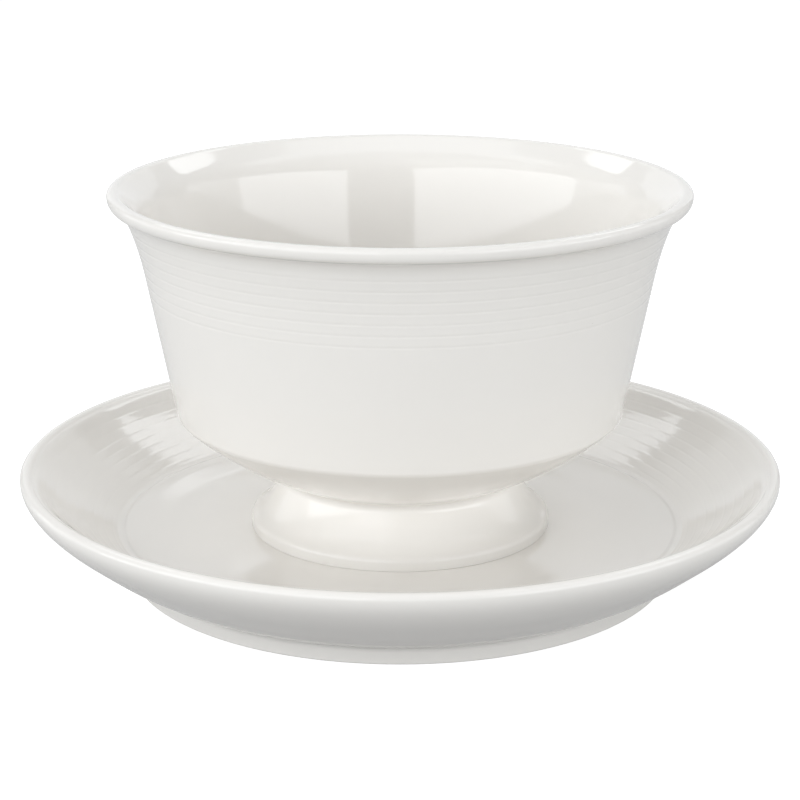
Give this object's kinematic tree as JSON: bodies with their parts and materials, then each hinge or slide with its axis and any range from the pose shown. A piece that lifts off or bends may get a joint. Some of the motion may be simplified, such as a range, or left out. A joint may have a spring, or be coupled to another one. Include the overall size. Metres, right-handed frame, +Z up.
{
  "type": "sauce boat",
  "caption": "Round porcelain sauce bowl with flared wall, rolled lip and pedestal foot, standing loose on a deep saucer that catches drips; turned rings below the rims.",
  "frame": {"origin": "centre of the circle that the saucer stands on, in the plane of the table", "axes": "+Z up along the turning axis that bowl, foot and saucer share; X and Y level, all directions alike"},
  "size_m": [0.19, 0.19, 0.0973],
  "materials": {
    "porcelain": "white hard porcelain under a clear gloss glaze"
  },
  "bodies": {
    "saucer": {"saucer": "porcelain"},
    "footed_bowl": {"bowl": "porcelain", "pedestal_foot": "porcelain"}
  },
  "joints": [
    {"name": "bowl_lift", "type": "slide", "parent": "saucer", "child": "footed_bowl", "axis": [0, 0, 1], "range_m": [0, 0.06]}
  ]
}
